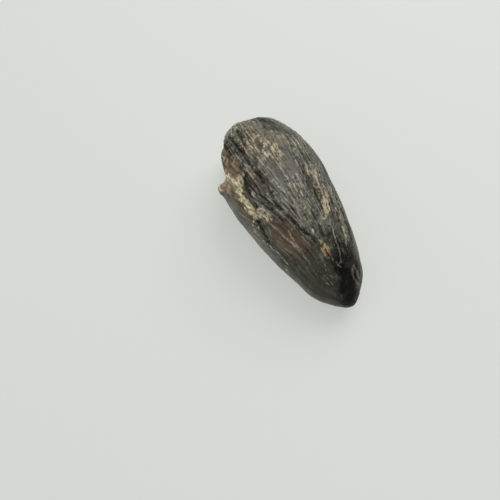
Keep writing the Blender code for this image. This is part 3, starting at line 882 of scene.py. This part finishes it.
def tooth_material():
    """Enamel and dentine, coloured by the masks and broken up by noises of several sizes."""
    material = bpy.data.materials.new("fossil_enamel")
    n = Nodes(material, "Principled BSDF")
    place = n.scaled(n.add("ShaderNodeTexCoord").outputs["Object"], 1 / MM)
    # Noises in cells for each mm, then those drawn out along the grain.
    clouds = n.cloud(place, 0.8, detail=4)
    mottles = n.cloud(place, 2.4, detail=3)
    specks = n.cloud(place, 8.0)
    grit = n.cloud(place, 18.0)
    streaks = n.stripes(48, 1.1)
    strands = n.stripes(17, 0.5, roughness=0.5)
    bend = n.add("ShaderNodeTexNoise", {"Vector": place, "Scale": 3.0}).outputs["Color"]
    bent = n.vector_math("ADD", place, n.scaled(bend, 0.5))
    from_vein = n.add("ShaderNodeTexVoronoi", {"Vector": bent, "Scale": 3.6}, feature="DISTANCE_TO_EDGE")
    from_vein = n.math("MULTIPLY_ADD", mottles, 0.16, from_vein.outputs["Distance"])

    def masked(name, share):
        """A mask at a share of its strength."""
        return n.times(n.mask(name), share)

    def within(name, by, low, high):
        """The part of a mask where a noise rises from one level to another."""
        return n.times(n.mask(name), n.between(by, low, high))

    def ragged(name, by, gain, low, high):
        """Inside a mask, where it and a noise together pass a level, so that its edge breaks up."""
        inside = n.between(n.mask(name), 0.02, 0.3)
        return n.times(inside, n.between(n.math("MULTIPLY_ADD", n.mask(name), gain, by), low, high))

    def shading(*parts):
        """Powers of two that darken or lighten a colour, from noises about 0.5 with their gains."""
        return n.total(*((n.math("SUBTRACT", value, 0.5), gain) for value, gain in parts))

    def toned(colour, tone, power):
        """A colour times a power of a tone."""
        return n.scaled(colour, n.math("POWER", tone, power))

    height, laminae = n.mask("height"), n.mask("laminae")
    # The height term darkens sunk points and lightens raised ones: painted shade in the hollows and painted
    # highlight on the crests. The noises add the enamel's own tone.
    tone = shading((height, 3.2), (streaks, 7.2), (specks, 3.2), (strands, 2.5), (clouds, 1.5))
    calm = n.math("MAXIMUM", n.mask("calm"), masked("painted_sheen", 0.3))
    tone = n.math("POWER", 2.0, n.times(tone, n.mix_value(calm, 1.1, 0.4)))
    deposit = n.total((specks, 0.15), (streaks, 0.45), (mottles, 0.4))

    # The enamel, from its ground to the deposit on it.
    colour = n.mix(n.between(clouds, 0.38, 0.62), CHARCOAL, SLATE)
    # Darker towards the tip where the ridges wear down, and painted shade on the lower flank.
    colour = n.mix(masked("worn", 0.7), colour, CHARCOAL)
    # Painted sheen: grey laid on where the top of the enamel mirrors the key light.
    colour = n.mix(masked("painted_sheen", 0.8), colour, SHEEN_GREY)
    colour = n.mix(within("mottled", clouds, 0.35, 0.60), colour, OLIVE)
    colour = n.mix(within("mottled", mottles, 0.40, 0.56), colour, TAN)
    colour = n.mix(masked("brown", 0.85), colour, n.mix(n.between(strands, 0.35, 0.65), UMBER, RUST))
    flecks = n.total((specks, 0.5), (streaks, 0.5))
    # Near-black patches: dark enamel, and painted shade under the broken rim and on the lower flank.
    colour = n.mix(n.times(within("black", flecks, 0.70, 0.48), 0.85), colour, NEAR_BLACK)
    colour = n.mix(within("cream", deposit, 0.38, 0.56), colour, TAN)
    colour = n.scaled(colour, tone)
    # Paler raised crests: worn enamel, and painted highlight on the crests.
    colour = n.mix(n.times(n.between(height, 0.72, 1.0), 0.4), colour, PALE)
    # Cream deposit, with a few painted glints among its strokes.
    colour = n.mix(ragged("cream", deposit, 0.13, 0.60, 0.70), colour, toned(CREAM, tone, 0.4))
    colour = n.mix(n.times(within("veins", from_vein, 0.17, 0.10), 0.9), colour, CREAM)

    # The bare dentine and the deposit on it.
    # The height term here too is painted shade in the hollows and painted highlight on the raised points of
    # the dentine.
    bare_tone = shading((height, 1.1), (specks, 2.2), (grit, 2.2), (laminae, 0.7), (clouds, 1.0))
    along_break = n.times(n.math("SUBTRACT", streaks, 0.5), masked("broken", 4.5))
    bare_tone = n.math("POWER", 2.0, n.math("ADD", bare_tone, along_break))
    bare = n.total((laminae, 0.1), (mottles, 0.4), (streaks, 0.5))
    bare = n.mix(n.between(bare, 0.40, 0.60), DENTINE_DARK, DENTINE_LIGHT)
    bare = n.scaled(n.mix(masked("bone", 0.8), bare, BONE), bare_tone)
    bare = n.mix(ragged("cream", deposit, 0.15, 0.53, 0.63), bare, toned(CHALK, bare_tone, 0.8))
    # Painted shadow in the hollow under the broken rim, where the black patches reach the dentine.
    bare = n.mix(masked("black", 0.6), bare, NEAR_BLACK)
    colour = n.mix(n.mask("dentine"), colour, bare)

    # The orange spot, the painted shade in the dark furrows, the black tip, and the pale lines of scratches
    # and painted highlights.
    spot = n.total((mottles, 0.4), (streaks, 0.6))
    colour = n.mix(within("yellow", spot, 0.42, 0.54), colour, toned(STRAW, tone, 0.6))
    colour = n.mix(within("orange", streaks, 0.35, 0.50), colour, toned(AMBER, tone, 0.6))
    # Painted shade: near-black in the dark furrows.
    colour = n.mix(n.times(within("dark", specks, 0.76, 0.40), 0.75), colour, NEAR_BLACK)
    colour = n.mix(masked("tip", 0.95), colour, NEAR_BLACK)
    # Pale lines: scratches, and painted highlights along the crests.
    colour = n.mix(within("light", grit, 0.35, 0.55), colour, toned(PALE, tone, 0.4))
    # Pale threads of deposit, and painted glints.
    colour = n.mix(masked("threads", 0.9), colour, THREAD_AND_GLINT)

    roughness = n.math("MULTIPLY_ADD", specks, 0.35, 0.3)
    for name, its_roughness in (("cream", 0.8), ("tip", 0.25), ("dentine", 0.9)):
        roughness = n.mix_value(n.mask(name), roughness, its_roughness)
    fine = {"Height": n.math("ADD", streaks, grit), "Strength": 0.8, "Distance": BUMP_DEPTH}
    n.fill(n.shader, {
        "Base Color": colour,
        "Roughness": roughness,
        "IOR": BODY_IOR,
        "Coat Weight": masked("gloss", GLAZE),
        "Coat Roughness": GLAZE_ROUGHNESS,
        "Coat IOR": GLAZE_IOR,
        "Normal": n.add("ShaderNodeBump", fine).outputs[0],
    })
    return material


# ---- studio

SKY = [  # heights, 0 at the horizon and 1 overhead, and the strength of the light from there
    (0.0, 0.69), (0.10, 0.68), (0.26, 0.36), (0.90, 0.60),
]
SKY_COLOUR = (1.0, 1.0, 0.97)
DARK_SIDE = (0.75, 0.58, 0.42)  # direction of the studio's dark side, which the black tip mirrors
DARK_SIDE_EDGE = (0.62, 0.88)  # cosines of the angle from there, at its edge and where it is darkest
DARK_SIDE_OVER = (0.08, 0.22)  # heights between which the dark side sets in
DARK_SIDE_LOSS = 0.97  # share of the sky's light that is missing there
KEY_PLACE = (217, 50)  # azimuth and elevation in degrees
KEY_DISTANCE, KEY_SIZE, KEY_WATTS = 120, 90, 0.05  # the first two in mm
FLOOR_HALF = 0.5  # metres, half of its side
FLOOR_GLOW, FAR_GLOW = 0.98, 1.16
FAR_FLOOR = (0.08, 0.30)  # metres over which the floor takes its far glow, out of the key light


def add_camera():
    """The camera of the photograph."""
    camera = add_object("camera", bpy.data.cameras.new("camera"))
    camera.data.lens, camera.data.sensor_width = LENS, SENSOR
    camera.data.clip_start, camera.data.clip_end = 0.001, 10
    right, up, back = camera_axes()
    turn = Matrix((right, up, back)).transposed().to_4x4()
    camera.matrix_world = Matrix.Translation((TARGET + back * DISTANCE) * MM) @ turn
    bpy.context.scene.camera = camera


def add_key_light():
    """A square softbox that faces the tooth."""
    lamp = add_object("key", bpy.data.lights.new("key", "AREA"))
    lamp.data.shape, lamp.data.size, lamp.data.energy = "SQUARE", KEY_SIZE * MM, KEY_WATTS
    lamp.location = Vector(direction(*KEY_PLACE)) * KEY_DISTANCE * MM
    lamp.rotation_euler = lamp.location.to_track_quat("Z", "Y").to_euler()


def add_world():
    """Soft light from the whole sky: strong near the horizon and overhead, dark on one side."""
    world = bpy.data.worlds.new("studio")
    n = Nodes(world, "Background")
    towards = n.add("ShaderNodeTexCoord").outputs["Generated"]
    height = n.add("ShaderNodeSeparateXYZ", {0: towards}).outputs["Z"]
    ramp = n.add("ShaderNodeValToRGB", {0: height})
    stops = ramp.color_ramp.elements
    while len(stops) < len(SKY):
        stops.new(0.5)
    for stop, (place, strength) in zip(stops, SKY):
        stop.position, stop.color = place, (strength, strength, strength, 1)
    axis = Vector(DARK_SIDE).normalized()
    aside = n.add("ShaderNodeVectorMath", {0: towards, 1: axis}, operation="DOT_PRODUCT").outputs["Value"]
    dark = n.times(n.between(aside, *DARK_SIDE_EDGE), n.between(height, *DARK_SIDE_OVER))
    lit = n.math("SUBTRACT", 1.0, n.times(dark, DARK_SIDE_LOSS))
    n.fill(n.shader, {"Color": SKY_COLOUR, "Strength": n.times(ramp.outputs["Color"], lit)})
    bpy.context.scene.world = world


def floor_material():
    """A pale sheet that glows, so the shadows on it stay faint."""
    material = bpy.data.materials.new("pale_floor")
    n = Nodes(material, "Principled BSDF")
    place = n.add("ShaderNodeTexCoord").outputs["Object"]
    away = n.add("ShaderNodeVectorMath", {0: place}, operation="LENGTH").outputs["Value"]
    n.fill(n.shader, {
        "Base Color": FLOOR_COLOUR,
        "Roughness": 0.9,
        "Emission Color": FLOOR_COLOUR,
        "Emission Strength": n.mix_value(n.between(away, *FAR_FLOOR), FLOOR_GLOW, FAR_GLOW),
    })
    return material


def add_floor():
    """The plain floor that the tooth lies on, which is left out of the part."""
    mesh = bpy.data.meshes.new("floor")
    corners = [(-1, -1), (1, -1), (1, 1), (-1, 1)]
    mesh.from_pydata([(x * FLOOR_HALF, y * FLOOR_HALF, 0) for x, y in corners], [], [(0, 1, 2, 3)])
    mesh.materials.append(floor_material())
    add_object("floor", mesh)


piece = build_mesh(Tooth())
piece.data.materials.append(tooth_material())
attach(piece, "root")
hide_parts("tooth")
add_camera()
add_world()
add_floor()
add_key_light()
bpy.context.scene.view_settings.view_transform = "Standard"
